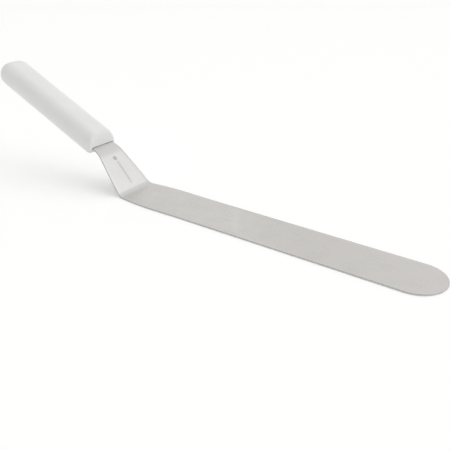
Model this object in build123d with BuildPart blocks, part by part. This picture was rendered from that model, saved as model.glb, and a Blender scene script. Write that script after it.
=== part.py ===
from build123d import *
import os
from math import cos, radians, sin

# Offset icing spatula: one stamped stainless blade whose tang is moulded into one plastic handle.
# Millimetres, +Z up, +X from the handle towards the blade's tip, Y across the blade.
# The blade's underside lies on z = 0 and the origin is under the middle of the overall length.

# --- sheet steel ---
thickness = 0.9
blade_width = 38.1              # 1-1/2 in
blade_length = 241.3            # 9-1/2 in, from the corner of the heel bend to the tip
crank_angle = 47.0              # slope of the crank above the blade
crank_length = 36.3             # from bend corner to bend corner, along the underside
heel_radius = 7.6               # underside of the bend between blade and crank
upper_radius = 20.8             # underside of the bend between crank and tang
straight_reach = 60.0           # from the heel corner to where the edges run parallel
belly_reach = 30.0              # from the heel corner to the widest place
belly_width = 39.1
heel_width = 34.2
crank_width = 29.2              # half way up the crank
neck_width = 21.0               # where the steel leaves the handle

# --- tang, hidden in the handle ---
tang_width = 13.0
tang_length = 82.0              # from the front of the handle
shoulder_depth = 5.0            # the neck keeps its width this far into the handle
shoulder_length = 6.0           # then narrows to the tang over this length
lock_hole_diameter = 5.0
lock_hole_count = 3
lock_hole_pitch = 22.0
lock_hole_middle = 46.0         # from the front of the handle to the middle hole

# --- handle ---
handle_angle = 24.0             # slope of the handle above the blade
handle_setback = 7.6            # from the upper bend's corner to the front of the handle
handle_lift = 0.5               # the handle's axis above the middle of the tang
handle_length = 112.0
handle_width = 25.8
handle_thickness = 19.4
handle_corner_radius = 9.2
butt_radius = 8.3
nose_height = 0.3               # the flat front face reaches this far above the handle's axis
nose_slope_length = 4.8         # the top slopes down to the front face over this length
nose_slope_radius = 5.0
jaw_depth = 4.2                 # the flat front face reaches this far below the axis
jaw_slope_length = 6.0
jaw_slope_radius = 1.0

# --- directions, and corners of the side view measured from the heel corner ---
crank_run = cos(radians(crank_angle))
crank_rise = sin(radians(crank_angle))
handle_run = cos(radians(handle_angle))
handle_rise = sin(radians(handle_angle))
axis_height = thickness / 2 + handle_lift
tang_start_x = -crank_length * crank_run - handle_setback * handle_run
tang_start_z = crank_length * crank_rise + handle_setback * handle_rise
front_x = tang_start_x + axis_height * handle_rise
front_z = tang_start_z + axis_height * handle_run

# The butt's rounded corner sets how far back the object reaches, and with it the origin.
butt_core = handle_thickness / 2 - butt_radius
butt_x = front_x - (handle_length - butt_radius) * handle_run - butt_core * handle_rise - butt_radius
heel_x = -(blade_length + butt_x) / 2
tip_x = heel_x + blade_length
neck_x = heel_x + tang_start_x

upper_corner = (heel_x - crank_length * crank_run, crank_length * crank_rise)
tang_end = (neck_x - tang_length * handle_run, tang_start_z + tang_length * handle_rise)

# Local x runs back along the tang's underside from the front of the handle, local z out of the steel.
tang_plane = Plane(
    origin=(neck_x, 0, tang_start_z),
    x_dir=(-handle_run, 0, handle_rise),
    z_dir=(handle_rise, 0, handle_run),
)
# Handle planes start where its axis leaves its front face. In section, local z runs back along the axis
# and local y out of the top; in the side view, local x runs back and local y out of the top.
handle_front = (heel_x + front_x, 0, front_z)
section_plane = Plane(origin=handle_front, x_dir=(0, -1, 0), z_dir=(-handle_run, 0, handle_rise))
side_plane = Plane(origin=handle_front, x_dir=(-handle_run, 0, handle_rise), z_dir=(0, 1, 0))

os.makedirs("parts", exist_ok=True)


# --- blade: flexible blade, crank and tang, one piece of bent sheet ---
shoulder_x = neck_x - shoulder_depth * handle_run
waist_x = shoulder_x - shoulder_length * handle_run

with BuildPart() as blade:
    # Side view: a band of one thickness with two bends.
    with BuildSketch(Plane.XZ):
        with BuildLine():
            underside = FilletPolyline(
                (tip_x, 0), (heel_x, 0), upper_corner, tang_end, radius=[heel_radius, upper_radius]
            )
            offset(underside, amount=thickness, side=Side.RIGHT)
        make_face()
    extrude(amount=belly_width, both=True)

    # Plan view: round tip, parallel edges, a flare in to the neck, and shoulders down to the tang.
    with BuildSketch(Plane.XY):
        with BuildLine():
            tip_curve = CenterArc((tip_x - blade_width / 2, 0), blade_width / 2, 0, 90)
            edge = Line(tip_curve @ 1, (heel_x + straight_reach, blade_width / 2))
            flare = Spline(
                edge @ 1,
                (heel_x + belly_reach, belly_width / 2),
                (heel_x, heel_width / 2),
                ((heel_x + upper_corner[0]) / 2, crank_width / 2),
                (neck_x, neck_width / 2),
                tangents=[(-1, 0), (-1, -0.15)],
            )
            neck = Line(flare @ 1, (shoulder_x, neck_width / 2))
            shoulder = Line(neck @ 1, (waist_x, tang_width / 2))
            tang_side = Line(shoulder @ 1, (tang_end[0], tang_width / 2))
            tang_butt = Line(tang_side @ 1, (tang_end[0], 0))
            Line(tang_butt @ 1, tip_curve @ 0)
        make_face()
        mirror(about=Plane.XZ)
    extrude(amount=2 * tang_end[1], both=True, mode=Mode.INTERSECT)

    # Locking holes, which the handle's plastic fills.
    with BuildSketch(tang_plane):
        with Locations((lock_hole_middle, 0)):
            with GridLocations(lock_hole_pitch, 1, lock_hole_count, 1):
                Circle(lock_hole_diameter / 2)
    extrude(amount=thickness, mode=Mode.SUBTRACT)

blade.part.label = "blade"
export_step(blade.part, "parts/blade.step")


# --- handle: moulded round the tang ---
with BuildPart() as handle:
    # Grip: one rounded section, with a domed butt.
    with BuildSketch(section_plane):
        RectangleRounded(handle_width, handle_thickness, handle_corner_radius)
    extrude(amount=handle_length)
    butt_face = handle.faces().sort_by(Axis(handle_front, section_plane.z_dir))[-1]
    fillet(butt_face.edges(), butt_radius)

    # Nose, in side view: sloped down to the steel on top, flat in front, sloped up underneath.
    half = handle_thickness / 2
    beyond = handle_length + 1
    with BuildSketch(side_plane):
        with BuildLine():
            nose = FilletPolyline(
                (beyond, half),
                (nose_slope_length, half),
                (0, nose_height),
                (0, -jaw_depth),
                (jaw_slope_length, -half),
                (beyond, -half),
                radius=[nose_slope_radius, 0, 0, jaw_slope_radius],
            )
            Line(nose @ 1, nose @ 0)
        make_face()
    extrude(amount=handle_width, both=True, mode=Mode.INTERSECT)

    # The tang's bed, with pegs of plastic left standing through the locking holes.
    add(blade.part, mode=Mode.SUBTRACT)

handle.part.label = "handle"
export_step(handle.part, "parts/handle.step")
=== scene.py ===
from math import atan2, ceil, cos, hypot, pi, radians, sin, sqrt, tan

import bmesh
import bpy
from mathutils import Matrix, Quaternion, Vector


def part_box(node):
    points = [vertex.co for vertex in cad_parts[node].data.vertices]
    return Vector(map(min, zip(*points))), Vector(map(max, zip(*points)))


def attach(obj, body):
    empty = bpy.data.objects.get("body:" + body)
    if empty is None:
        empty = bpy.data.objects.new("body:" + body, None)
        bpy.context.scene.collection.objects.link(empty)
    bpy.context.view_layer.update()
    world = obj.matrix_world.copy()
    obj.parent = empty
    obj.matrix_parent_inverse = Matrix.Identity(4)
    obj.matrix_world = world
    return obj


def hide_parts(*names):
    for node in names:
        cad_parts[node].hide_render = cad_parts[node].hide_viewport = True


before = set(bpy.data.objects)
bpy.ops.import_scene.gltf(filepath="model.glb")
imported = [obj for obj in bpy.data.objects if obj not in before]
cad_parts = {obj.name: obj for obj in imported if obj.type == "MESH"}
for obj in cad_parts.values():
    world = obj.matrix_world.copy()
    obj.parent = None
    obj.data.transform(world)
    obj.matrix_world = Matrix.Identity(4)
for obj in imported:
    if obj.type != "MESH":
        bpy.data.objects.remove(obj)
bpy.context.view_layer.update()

MM = 0.001

# Sizes of the bent sheet and the handle, the same as in the CAD model, in metres.
THICKNESS = 0.9 * MM
BLADE_WIDTH = 38.1 * MM
BELLY_WIDTH = 39.1 * MM
HEEL_WIDTH = 34.2 * MM
CRANK_WIDTH = 29.2 * MM
NECK_WIDTH = 21.0 * MM
TANG_WIDTH = 13.0 * MM
BLADE_LENGTH = 241.3 * MM
STRAIGHT_REACH = 60.0 * MM
BELLY_REACH = 30.0 * MM
CRANK_LENGTH = 36.3 * MM
CRANK_ANGLE = radians(47.0)
HEEL_RADIUS = 7.6 * MM
UPPER_RADIUS = 20.8 * MM
TANG_LENGTH = 82.0 * MM
SHOULDER_DEPTH = 5.0 * MM
SHOULDER_LENGTH = 6.0 * MM
HANDLE_ANGLE = radians(24.0)
HANDLE_SETBACK = 7.6 * MM
HANDLE_LIFT = 0.5 * MM
HANDLE_LENGTH = 112.0 * MM
HANDLE_WIDTH = 25.8 * MM
HANDLE_THICKNESS = 19.4 * MM
HANDLE_CORNER = 9.2 * MM
BUTT_RADIUS = 8.3 * MM
NOSE_HEIGHT = 0.3 * MM
NOSE_SLOPE = 4.8 * MM
JAW_DEPTH = 4.2 * MM
JAW_SLOPE = 6.0 * MM

TIP_RADIUS = BLADE_WIDTH / 2
TIP_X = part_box("blade")[1][0]
HEEL_X = TIP_X - BLADE_LENGTH


# --------------------------------------------------------------------------------------
# The bent sheet: distances along its underside, from the tip back to the end of the tang
# --------------------------------------------------------------------------------------
HEEL_SETBACK = HEEL_RADIUS * tan(CRANK_ANGLE / 2)
UPPER_TURN = CRANK_ANGLE - HANDLE_ANGLE
UPPER_SETBACK = UPPER_RADIUS * tan(UPPER_TURN / 2)

FOLD_PARTS = (
    # (length along the underside, turn: positive bends upwards)
    (BLADE_LENGTH - HEEL_SETBACK, 0.0),
    (HEEL_RADIUS * CRANK_ANGLE, CRANK_ANGLE),
    (CRANK_LENGTH - HEEL_SETBACK - UPPER_SETBACK, 0.0),
    (UPPER_RADIUS * UPPER_TURN, -UPPER_TURN),
    (HANDLE_SETBACK + TANG_LENGTH - UPPER_SETBACK, 0.0),
)
ALONG_HEEL = FOLD_PARTS[0][0] + FOLD_PARTS[1][0] / 2
ALONG_CRANK = sum(part[0] for part in FOLD_PARTS[:2]) + FOLD_PARTS[2][0] / 2
ALONG_END = sum(part[0] for part in FOLD_PARTS)
ALONG_NECK = ALONG_END - TANG_LENGTH


def fold(along, height=0.0):
    """Point in the XZ plane that far along the sheet, raised from its underside by height."""
    x, z, slope = TIP_X, 0.0, 0.0
    for length, turn in FOLD_PARTS:
        step = min(along, length)
        if turn:
            radius = length / turn
            swept = step / radius
            x -= radius * (sin(slope + swept) - sin(slope))
            z += radius * (cos(slope) - cos(slope + swept))
            slope += swept
        else:
            x -= step * cos(slope)
            z += step * sin(slope)
        along -= step
        if along <= 0:
            break
    return x + height * sin(slope), z + height * cos(slope)


def on_sheet(along, across, height):
    x, z = fold(along, height)
    return (x, across, z)


FLARE = (
    # (distance along the sheet, half width, slope of the half width)
    (ALONG_HEEL - STRAIGHT_REACH, TIP_RADIUS, 0.0),
    (ALONG_HEEL - BELLY_REACH, BELLY_WIDTH / 2, -0.01),
    (ALONG_HEEL, HEEL_WIDTH / 2, -0.17),
    (ALONG_CRANK, CRANK_WIDTH / 2, -0.16),
    (ALONG_NECK, NECK_WIDTH / 2, -0.14),
)


def half_width(along):
    """Half the sheet's width at that distance back from the tip."""
    if along < TIP_RADIUS:
        return sqrt(max(0.0, TIP_RADIUS**2 - (TIP_RADIUS - along) ** 2))
    if along <= FLARE[0][0]:
        return TIP_RADIUS
    for (a0, w0, m0), (a1, w1, m1) in zip(FLARE, FLARE[1:]):
        if along <= a1:
            span = a1 - a0
            t = (along - a0) / span
            return (
                w0 * (2 * t**3 - 3 * t**2 + 1)
                + m0 * span * (t**3 - 2 * t**2 + t)
                + w1 * (3 * t**2 - 2 * t**3)
                + m1 * span * (t**3 - t**2)
            )
    into = along - ALONG_NECK
    if into <= SHOULDER_DEPTH:
        return NECK_WIDTH / 2
    t = min(1.0, (into - SHOULDER_DEPTH) / SHOULDER_LENGTH)
    return NECK_WIDTH / 2 * (1 - t) + TANG_WIDTH / 2 * t


# --------------------------------------------------------------------------------------
# Mesh helpers
# --------------------------------------------------------------------------------------
WELD = 0.001 * MM
CARVE_WELD = 0.002 * MM


def mesh_object(name, points, faces, slots=None):
    """A welded, outward-facing mesh object. slots gives each face's material index."""
    mesh = bpy.data.meshes.new(name)
    mesh.from_pydata(points, [], faces)
    if slots:
        mesh.polygons.foreach_set("material_index", slots)
    work = bmesh.new()
    work.from_mesh(mesh)
    bmesh.ops.remove_doubles(work, verts=work.verts, dist=WELD)
    bmesh.ops.recalc_face_normals(work, faces=work.faces)
    work.to_mesh(mesh)
    work.free()
    piece = bpy.data.objects.new(name, mesh)
    bpy.context.scene.collection.objects.link(piece)
    return piece


def shade_smooth(piece, sharp_angle):
    """Smooth shading, apart from edges sharper than the angle."""
    piece.data.polygons.foreach_set("use_smooth", [True] * len(piece.data.polygons))
    piece.data.set_sharp_from_angle(angle=sharp_angle)


def carve(piece, *cutters):
    """Cuts the cutters out of the piece for good, and throws them away."""
    for cutter in cutters:
        cut = piece.modifiers.new("carve", "BOOLEAN")
        cut.operation = "DIFFERENCE"
        cut.solver = "EXACT"
        cut.object = cutter
        bpy.context.view_layer.update()
        depsgraph = bpy.context.evaluated_depsgraph_get()
        carved = bpy.data.meshes.new_from_object(piece.evaluated_get(depsgraph))
        piece.modifiers.clear()
        piece.data = carved
        bpy.data.objects.remove(cutter)
    work = bmesh.new()
    work.from_mesh(piece.data)
    bmesh.ops.remove_doubles(work, verts=work.verts, dist=CARVE_WELD)
    bmesh.ops.dissolve_degenerate(work, edges=work.edges, dist=CARVE_WELD)
    bmesh.ops.triangulate(work, faces=[face for face in work.faces if len(face.verts) > 4])
    work.to_mesh(piece.data)
    work.free()


def between(start, stop, longest_step):
    """Evenly spaced values from start up to, but not including, stop."""
    count = max(1, ceil((stop - start) / longest_step))
    return [start + (stop - start) * i / count for i in range(count)]


# --------------------------------------------------------------------------------------
# Blade: crank, bends, flare and tang in one sheet with eased edges
# --------------------------------------------------------------------------------------
EDGE_EASE = 0.25 * MM
EASE_STEPS = 3
COLUMNS = 10
TIP_STEPS = 40
FOLD_STEPS = (4.0 * MM, 0.35 * MM, 1.5 * MM, 0.5 * MM, 1.5 * MM)


def sheet_stations(start, stop):
    """Distances along the sheet where it gets a row of points, closest in the bends."""
    marks = [0.0]
    for length, _turn in FOLD_PARTS:
        marks.append(marks[-1] + length)
    stations = []
    for low, high, step in zip(marks, marks[1:], FOLD_STEPS):
        low, high = max(low, start), min(high, stop)
        if high > low:
            stations += between(low, high, step)
    return stations + [stop]


def side_normal(along):
    """Outward normal of the plan outline on its +Y side, as (along, across)."""
    if along < TIP_RADIUS:
        return ((along - TIP_RADIUS) / TIP_RADIUS, half_width(along) / TIP_RADIUS)
    step = 0.2 * MM
    slope = (half_width(along + step) - half_width(along - step)) / (2 * step)
    length = hypot(1, slope)
    return (-slope / length, 1 / length)


def sheet_solid(name, start, stop, side_gap=0.0, low_gap=0.0, high_gap=0.0, ease=EDGE_EASE):
    """The bent sheet between two distances, grown by the gaps. Its edge faces use slot 1."""
    if start < TIP_RADIUS:
        stations = [TIP_RADIUS * (1 - cos(pi / 2 * i / TIP_STEPS)) for i in range(TIP_STEPS)]
        stations += sheet_stations(TIP_RADIUS, stop)
    else:
        stations = sheet_stations(start, stop)

    def plan(row, share, inset):
        """Plan position of a point: share runs from -1 to 1 across the sheet."""
        along = stations[row]
        wide = half_width(along) + side_gap
        if row == len(stations) - 1:
            return along - inset, (wide - inset) * share
        if row == 0 and start >= TIP_RADIUS:
            return along + inset, (wide - inset) * share
        lengthwise, crosswise = side_normal(along)
        return along - inset * lengthwise, (wide - inset * crosswise) * share

    shares = [2 * column / COLUMNS - 1 for column in range(COLUMNS + 1)]
    rows = range(len(stations))
    last = len(stations) - 1
    low, high = -low_gap, THICKNESS + high_gap

    rim = [(row, 1.0) for row in rows]
    rim += [(last, share) for share in reversed(shares[:-1])]
    rim += [(row, -1.0) for row in reversed(rows[:-1])]
    rim += [(0, share) for share in shares[1:-1]]

    quarter = [pi / 2 * i / EASE_STEPS for i in range(EASE_STEPS + 1)]
    edge = [(ease * (1 - sin(a)), high - ease * (1 - cos(a))) for a in quarter]
    edge += [(ease * (1 - cos(a)), low + ease * (1 - sin(a))) for a in quarter]

    points, faces, slots = [], [], []

    def add(row, share, inset, height):
        along, across = plan(row, share, inset)
        points.append(on_sheet(along, across, height))
        return len(points) - 1

    for height in (high, low):
        grid = [[add(row, share, ease, height) for share in shares] for row in rows]
        for a, b in zip(grid, grid[1:]):
            for c in range(COLUMNS):
                faces.append((a[c], a[c + 1], b[c + 1], b[c]))
                slots.append(0)
    rings = [[add(row, share, inset, height) for row, share in rim] for inset, height in edge]
    for a, b in zip(rings, rings[1:]):
        for i in range(len(rim)):
            j = (i + 1) % len(rim)
            faces.append((a[i], a[j], b[j], b[i]))
            slots.append(1)
    return mesh_object(name, points, faces, slots)


LOCK_HOLES = [ALONG_NECK + distance * MM for distance in (24.0, 46.0, 68.0)]
LOCK_HOLE_RADIUS = 2.5 * MM


def hole_cutter(along, radius):
    """A round cutter through the sheet at that distance, square to it."""
    x, z = fold(along, THICKNESS / 2)
    upper_x, upper_z = fold(along, THICKNESS)
    turn = atan2(upper_x - x, upper_z - z)
    reach = 4 * THICKNESS
    sides = 48
    points, faces = [], []
    for end in (-reach, reach):
        for i in range(sides):
            angle = 2 * pi * (i + 0.5) / sides
            sideways, forward = radius * cos(angle), radius * sin(angle)
            points.append((
                x + end * sin(turn) + forward * cos(turn),
                sideways,
                z + end * cos(turn) - forward * sin(turn),
            ))
    faces = [(i, (i + 1) % sides, sides + (i + 1) % sides, sides + i) for i in range(sides)]
    faces += [tuple(range(sides)), tuple(range(sides, 2 * sides))]
    return mesh_object("cutter", points, faces)


def make_blade():
    blade = sheet_solid("spatula_blade", 0.0, ALONG_END)
    carve(blade, *[hole_cutter(along, LOCK_HOLE_RADIUS) for along in LOCK_HOLES])
    shade_smooth(blade, radians(50))
    return blade


# --------------------------------------------------------------------------------------
# Handle: one moulding with a sloped nose, a domed butt and a bed for the tang
# --------------------------------------------------------------------------------------
CREASE_EASE = 4.0 * MM
JAW_EASE = 0.8 * MM
FRONT_EASE = 0.5 * MM
ARC_STEPS = 14
FLAT_STEPS = 6
BUTT_STEPS = 16
NOSE_REACH = 14.0 * MM
NOSE_STEP = 0.45 * MM
GRIP_STEP = 3.0 * MM

# The tang's bed is cut a hair wider than the steel, and the mouth in front opens a visible gap.
HAIR = 0.02 * MM
MOUTH_DEPTH = 0.7 * MM
MOUTH_SIDE_GAP = 0.6 * MM
MOUTH_LOW_GAP = 0.2 * MM
MOUTH_HIGH_GAP = 0.35 * MM


def eased_min(a, b, ease):
    """The smaller of two values, rounded where they meet."""
    overlap = max(ease - abs(a - b), 0.0) / ease
    return min(a, b) - overlap**2 * ease / 4


def handle_outline(inset):
    """Points round the grip's section, moved inwards by inset: (sideways, upwards)."""
    flat_y = HANDLE_WIDTH / 2 - HANDLE_CORNER
    flat_n = HANDLE_THICKNESS / 2 - HANDLE_CORNER
    radius = HANDLE_CORNER - inset
    outline = []
    for quadrant, (side, up) in enumerate(((1, 1), (-1, 1), (-1, -1), (1, -1))):
        for step in range(ARC_STEPS + 1):
            angle = pi / 2 * (quadrant + step / ARC_STEPS)
            outline.append((side * flat_y + radius * cos(angle), up * flat_n + radius * sin(angle)))
        if quadrant in (0, 2):
            start = outline[-1]
            for step in range(1, FLAT_STEPS):
                outline.append((start[0] * (1 - 2 * step / FLAT_STEPS), start[1]))
    return outline


def nose_limits(back):
    """How high and how low the nose reaches at that distance behind the handle's front."""
    half = HANDLE_THICKNESS / 2
    return (
        NOSE_HEIGHT + back * (half - NOSE_HEIGHT) / NOSE_SLOPE,
        -JAW_DEPTH - back * (half - JAW_DEPTH) / JAW_SLOPE,
    )


HANDLE_AXIS_HEIGHT = THICKNESS / 2 + HANDLE_LIFT


def on_handle(back, sideways, upwards):
    """Point in the handle's own directions, from where its axis leaves its front."""
    x, z = fold(ALONG_NECK, HANDLE_AXIS_HEIGHT)
    return (
        x - back * cos(HANDLE_ANGLE) + upwards * sin(HANDLE_ANGLE),
        sideways,
        z + back * sin(HANDLE_ANGLE) + upwards * cos(HANDLE_ANGLE),
    )


def handle_sections():
    """(distance back, inset of the outline, inset of the nose's front) for each ring of points."""
    sections = []
    for step in range(EASE_STEPS, -1, -1):
        angle = pi / 2 * step / EASE_STEPS
        sections.append((FRONT_EASE * (1 - sin(angle)), 0.0, FRONT_EASE * (1 - cos(angle))))
    plain = between(FRONT_EASE, NOSE_REACH, NOSE_STEP)[1:]
    plain += between(NOSE_REACH, HANDLE_LENGTH - BUTT_RADIUS, GRIP_STEP)
    sections += [(back, 0.0, 0.0) for back in plain]
    for step in range(BUTT_STEPS + 1):
        angle = pi / 2 * step / BUTT_STEPS
        back = HANDLE_LENGTH - BUTT_RADIUS * (1 - sin(angle))
        sections.append((back, BUTT_RADIUS * (1 - cos(angle)), 0.0))
    return sections


def cut_bed(handle):
    """Cuts the tang's bed and the mouth, and leaves pegs standing through the locking holes."""
    start = ALONG_NECK - 2 * MM
    bed = sheet_solid("cutter", start, ALONG_END + HAIR, HAIR, HAIR, HAIR)
    carve(bed, *[hole_cutter(along, LOCK_HOLE_RADIUS - HAIR) for along in LOCK_HOLES])
    mouth = sheet_solid(
        "cutter", start, ALONG_NECK + MOUTH_DEPTH, MOUTH_SIDE_GAP, MOUTH_LOW_GAP, MOUTH_HIGH_GAP
    )
    carve(handle, bed, mouth)


def make_handle():
    points, rings = [], []
    for back, inset, front in handle_sections():
        top, bottom = nose_limits(back)
        ring = []
        for sideways, upwards in handle_outline(inset):
            upwards = eased_min(upwards, top - front, CREASE_EASE)
            upwards = -eased_min(-upwards, -bottom - front, JAW_EASE)
            sideways *= 1 - front / (HANDLE_WIDTH / 2)
            ring.append(len(points))
            points.append(on_handle(back, sideways, upwards))
        rings.append(ring)
    faces = [tuple(rings[0]), tuple(rings[-1])]
    for a, b in zip(rings, rings[1:]):
        for i in range(len(a)):
            j = (i + 1) % len(a)
            faces.append((a[i], a[j], b[j], b[i]))
    handle = mesh_object("spatula_handle", points, faces)
    cut_bed(handle)
    shade_smooth(handle, radians(38))
    return handle


blade = make_blade()
handle = make_handle()
for piece, node, slot in ((blade, "blade", "stainless"), (handle, "handle", "polypropylene")):
    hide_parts(node)
    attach(piece, "root")


# --------------------------------------------------------------------------------------
# Node helpers: each adds nodes to a material's or the world's node tree
# --------------------------------------------------------------------------------------
def new_material(name):
    material = bpy.data.materials.new(name)
    material.use_nodes = True
    return material, material.node_tree, material.node_tree.nodes["Principled BSDF"]


def feed(tree, value, socket):
    """Links a node's output to the socket, or sets the socket to a number or colour."""
    if isinstance(value, bpy.types.NodeSocket):
        tree.links.new(value, socket)
    elif isinstance(value, tuple):
        socket.default_value = (*value, 1)
    else:
        socket.default_value = value


def noise_at(tree, scale, detail, roughness=0.5):
    """Noise in object space; scale is a number, or three for noise stretched along an axis."""
    coordinates = tree.nodes.new("ShaderNodeTexCoord")
    mapping = tree.nodes.new("ShaderNodeMapping")
    mapping.inputs["Scale"].default_value = scale if isinstance(scale, tuple) else (scale,) * 3
    tree.links.new(coordinates.outputs["Object"], mapping.inputs["Vector"])
    noise = tree.nodes.new("ShaderNodeTexNoise")
    noise.inputs["Scale"].default_value = 1.0
    noise.inputs["Detail"].default_value = detail
    noise.inputs["Roughness"].default_value = roughness
    tree.links.new(mapping.outputs["Vector"], noise.inputs["Vector"])
    return noise.outputs["Fac"]


def spread(tree, value, low, high, from_low=0.3, from_high=0.7, smooth=False):
    """Maps a value to a range, and holds it at the range's ends. Noise lies within 0.3-0.7."""
    ramp = tree.nodes.new("ShaderNodeMapRange")
    if smooth:
        ramp.interpolation_type = "SMOOTHSTEP"
    ramp.inputs["From Min"].default_value = from_low
    ramp.inputs["From Max"].default_value = from_high
    ramp.inputs["To Min"].default_value = low
    ramp.inputs["To Max"].default_value = high
    tree.links.new(value, ramp.inputs["Value"])
    return ramp.outputs["Result"]


def blend_colours(tree, value, first, second):
    mix = tree.nodes.new("ShaderNodeMix")
    mix.data_type = "RGBA"
    feed(tree, value, mix.inputs["Factor"])
    feed(tree, first, mix.inputs["A"])
    feed(tree, second, mix.inputs["B"])
    return mix.outputs["Result"]


def bump(tree, height, distance, strength):
    node = tree.nodes.new("ShaderNodeBump")
    node.inputs["Strength"].default_value = strength
    node.inputs["Distance"].default_value = distance
    tree.links.new(height, node.inputs["Height"])
    return node.outputs["Normal"]


def combine(tree, operation, first, second=0.0):
    """Two values joined by a math node. The second may be a plain number."""
    node = tree.nodes.new("ShaderNodeMath")
    node.operation = operation
    feed(tree, first, node.inputs[0])
    feed(tree, second, node.inputs[1])
    return node.outputs["Value"]


def product(tree, first, *others):
    for other in others:
        first = combine(tree, "MULTIPLY", first, other)
    return first


def offset_along(tree, origin, direction):
    """How far a surface point lies from the origin along a direction."""
    coordinates = tree.nodes.new("ShaderNodeTexCoord")
    away = tree.nodes.new("ShaderNodeVectorMath")
    away.operation = "SUBTRACT"
    away.inputs[1].default_value = origin
    tree.links.new(coordinates.outputs["Object"], away.inputs[0])
    dot = tree.nodes.new("ShaderNodeVectorMath")
    dot.operation = "DOT_PRODUCT"
    dot.inputs[1].default_value = direction
    tree.links.new(away.outputs["Vector"], dot.inputs[0])
    return dot.outputs["Value"]


# --------------------------------------------------------------------------------------
# Materials
# --------------------------------------------------------------------------------------
# The plain mark on the crank: (start, end) up from the heel corner, place across, radius, strength
MARKS = (
    (7.2 * MM, 25.6 * MM, 0.8 * MM, 1.2 * MM, 0.40),
    (29.3 * MM, 29.3 * MM, 0.25 * MM, 1.8 * MM, 0.85),
)
MARK_SOFTNESS = 0.1 * MM


def etched_bar(tree, start, end, across, radius):
    """1 inside a plain round-ended bar on the crank's upper face, 0 elsewhere."""
    bend_x, bend_z = fold(ALONG_HEEL, THICKNESS)
    crank_x, crank_z = fold(ALONG_CRANK, THICKNESS)
    up = Vector((crank_x - bend_x, 0, crank_z - bend_z)).normalized()
    heel_corner = (HEEL_X, across, 0.0)
    beyond = offset_along(tree, heel_corner, up)
    beyond = combine(tree, "SUBTRACT", beyond, (start + end) / 2)
    beyond = combine(tree, "SUBTRACT", combine(tree, "ABSOLUTE", beyond), (end - start) / 2)
    beyond = combine(tree, "MAXIMUM", beyond, 0.0)
    sideways = offset_along(tree, heel_corner, (0, 1, 0))
    squares = combine(
        tree, "ADD", product(tree, beyond, beyond), product(tree, sideways, sideways)
    )
    distance = combine(tree, "SQRT", squares)
    inner, outer = radius - MARK_SOFTNESS, radius + MARK_SOFTNESS
    inside = spread(tree, distance, 1.0, 0.0, inner, outer)
    # Keeps the mark off the sheet's other side.
    outward = offset_along(tree, (crank_x, 0, crank_z), (up.z, 0, -up.x))
    on_top = spread(tree, outward, 0.0, 1.0, -0.6 * MM, -0.3 * MM)
    return product(tree, inside, on_top)


def satin_steel():
    """Hazy gloss with a faint clear one over it, long grain, soft smudges and a plain mark."""
    material, tree, shader = new_material("satin_steel")
    smudges = noise_at(tree, 70.0, 2.0)
    streaks = noise_at(tree, (5.0, 800.0, 5.0), 4.0)
    toward_tip = offset_along(tree, (0, 0, 0), (1, 0, 0))
    warmth = product(
        tree, spread(tree, toward_tip, 0.0, 1.0, 0.055, 0.085), spread(tree, smudges, 0.2, 1.0)
    )
    worn = combine(
        tree, "ADD", spread(tree, smudges, 0.0, 0.75), spread(tree, streaks, 0.0, 0.25)
    )
    tone = blend_colours(tree, worn, (0.69, 0.685, 0.67), (0.745, 0.74, 0.725))
    tone = blend_colours(tree, warmth, tone, (0.742, 0.711, 0.70))
    bar, dot = [
        product(tree, etched_bar(tree, start, end, across, radius), strength)
        for start, end, across, radius, strength in MARKS
    ]
    tone = blend_colours(tree, combine(tree, "ADD", bar, dot), tone, (0.42, 0.42, 0.42))
    feed(tree, tone, shader.inputs["Base Color"])
    shader.inputs["Metallic"].default_value = 1.0
    feed(tree, spread(tree, worn, 0.25, 0.31, 0.0, 1.0), shader.inputs["Roughness"])
    shader.inputs["Coat Weight"].default_value = 0.5
    shader.inputs["Coat Roughness"].default_value = 0.07
    feed(tree, bump(tree, streaks, 0.0015 * MM, 0.3), shader.inputs["Normal"])
    return material


def sheared_steel():
    """The sheet's edges: duller and darker, with a fine burr."""
    material, tree, shader = new_material("sheared_steel")
    burr = noise_at(tree, 900.0, 3.0)
    shade = spread(tree, burr, 0.0, 1.0)
    tone = blend_colours(tree, shade, (0.50, 0.50, 0.49), (0.62, 0.62, 0.61))
    feed(tree, tone, shader.inputs["Base Color"])
    shader.inputs["Metallic"].default_value = 1.0
    feed(tree, spread(tree, burr, 0.3, 0.42), shader.inputs["Roughness"])
    feed(tree, bump(tree, burr, 0.01 * MM, 0.4), shader.inputs["Normal"])
    return material


def white_polypropylene():
    """White moulded plastic: faint flow marks and a fine matt mould texture."""
    material, tree, shader = new_material("white_polypropylene")
    flow = noise_at(tree, 45.0, 3.0)
    texture = noise_at(tree, 2600.0, 2.0)
    shade = spread(tree, flow, 0.0, 1.0)
    tone = blend_colours(tree, shade, (0.79, 0.79, 0.788), (0.82, 0.82, 0.818))
    feed(tree, tone, shader.inputs["Base Color"])
    feed(tree, spread(tree, flow, 0.46, 0.54), shader.inputs["Roughness"])
    shader.inputs["Subsurface Weight"].default_value = 0.06
    shader.inputs["Subsurface Radius"].default_value = (0.004, 0.0035, 0.003)
    feed(tree, bump(tree, texture, 0.02 * MM, 0.5), shader.inputs["Normal"])
    return material


blade.data.materials.append(satin_steel())
blade.data.materials.append(sheared_steel())
handle.data.materials.append(white_polypropylene())


# --------------------------------------------------------------------------------------
# Floor, light and camera
# --------------------------------------------------------------------------------------
FLOOR_REACH = 2.2
HORIZON = 0.95


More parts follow.
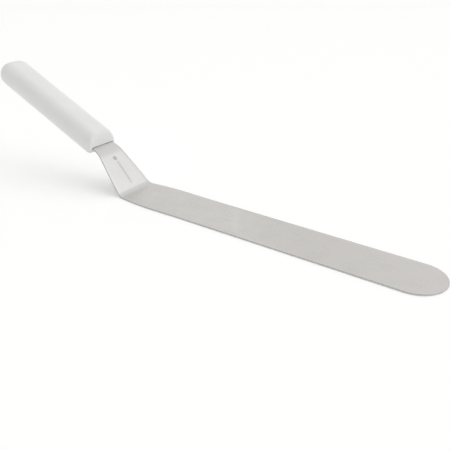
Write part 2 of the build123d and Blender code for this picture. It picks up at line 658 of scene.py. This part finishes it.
def make_floor():
    """A pale floor just under the tool, with a little light of its own to keep it white."""
    corners = [
        (-FLOOR_REACH, -FLOOR_REACH, 0),
        (FLOOR_REACH, -FLOOR_REACH, 0),
        (FLOOR_REACH, FLOOR_REACH, 0),
        (-FLOOR_REACH, FLOOR_REACH, 0),
    ]
    floor = mesh_object("floor", corners, [(0, 1, 2, 3)])
    floor.location.z = -0.05 * MM
    material, _tree, shader = new_material("pale_floor")
    shader.inputs["Base Color"].default_value = (0.94, 0.94, 0.94, 1)
    shader.inputs["Roughness"].default_value = 0.9
    shader.inputs["Emission Color"].default_value = (1, 1, 1, 1)
    shader.inputs["Emission Strength"].default_value = 0.14
    floor.data.materials.append(material)


def lit_gap(tree, bearing, y, z):
    """Extra light from a narrow gap between two panels, which shows as a stripe on the blade."""
    away = combine(tree, "ABSOLUTE", combine(tree, "ADD", bearing, 0.680))
    return product(
        tree,
        spread(tree, away, 0.8, 0.0, 0.002, 0.009),
        spread(tree, y, 0.0, 1.0, 0.2, 0.4),
        spread(tree, z, 0.0, 1.0, 0.34, 0.40),
    )


def make_sky():
    """Soft white studio panels all round: brighter past the blade's tip, dimmer in front.

    Places in the sky are given by the parts x, y and z of the direction towards them, and
    bearing is x / y, which is 0 straight behind the tool and falls towards the handle's side.
    """
    world = bpy.data.worlds.new("studio")
    bpy.context.scene.world = world
    world.use_nodes = True
    tree = world.node_tree
    coordinates = tree.nodes.new("ShaderNodeTexCoord")
    split = tree.nodes.new("ShaderNodeSeparateXYZ")
    tree.links.new(coordinates.outputs["Generated"], split.inputs["Vector"])
    x, y, z = split.outputs["X"], split.outputs["Y"], split.outputs["Z"]
    bearing = combine(tree, "DIVIDE", x, y)

    panels = combine(
        tree, "ADD",
        spread(tree, bearing, 0.975, 0.93, -0.70, -0.66),
        spread(tree, bearing, 0.0, 0.06, -0.50, -0.30),
    )
    strength = product(
        tree,
        spread(tree, x, 0.80, 1.12, 0.18, 0.50, smooth=True),
        spread(tree, y, 0.46, 1.0, -0.3, 0.35, smooth=True),
        spread(tree, z, 1.0, 1.08, 0.45, 0.8),
        panels,
    )
    strength = combine(tree, "ADD", strength, lit_gap(tree, bearing, y, z))

    # Near the horizon the sky is one even white, which the floor's far edge melts into.
    above = spread(tree, z, 0.0, 1.0, 0.06, 0.24)
    strength = product(tree, combine(tree, "SUBTRACT", strength, HORIZON), above)
    background = tree.nodes["Background"]
    feed(tree, combine(tree, "ADD", strength, HORIZON), background.inputs["Strength"])
    side = spread(tree, x, 0.0, 1.0, -0.4, 0.3)
    tint = blend_colours(tree, side, (1.0, 0.992, 0.965), (1.0, 1.0, 1.0))
    feed(tree, tint, background.inputs["Color"])


def make_lamp():
    """A wide soft lamp overhead, which isn't mirrored in the steel."""
    light = bpy.data.lights.new("overhead", "AREA")
    light.shape = "DISK"
    light.size = 7.0
    light.energy = 56.0
    lamp = bpy.data.objects.new("overhead", light)
    lamp.location = (0.2, 0.0, 3.2)
    lamp.rotation_euler = (-lamp.location).to_track_quat("-Z", "Y").to_euler()
    lamp.visible_glossy = False
    bpy.context.scene.collection.objects.link(lamp)


def make_camera():
    """Looks down on the tool from in front of it, on the side of its tip."""
    azimuth, elevation, roll = radians(35.33), radians(26.43), radians(0.24)
    distance = 0.433
    target = Vector((0.0372, -0.0077, -0.0003))
    level = cos(elevation)
    back = Vector((sin(azimuth) * level, -cos(azimuth) * level, sin(elevation)))
    data = bpy.data.cameras.new("camera")
    data.sensor_width = 36.0
    data.lens = 50.45
    data.clip_start = 0.01
    camera = bpy.data.objects.new("camera", data)
    camera.location = target + distance * back
    facing = (-back).to_track_quat("-Z", "Y") @ Quaternion((0, 0, 1), roll)
    camera.rotation_euler = facing.to_euler()
    bpy.context.scene.collection.objects.link(camera)
    bpy.context.scene.camera = camera


make_floor()
make_sky()
make_lamp()
make_camera()
bpy.context.scene.view_settings.view_transform = "Standard"
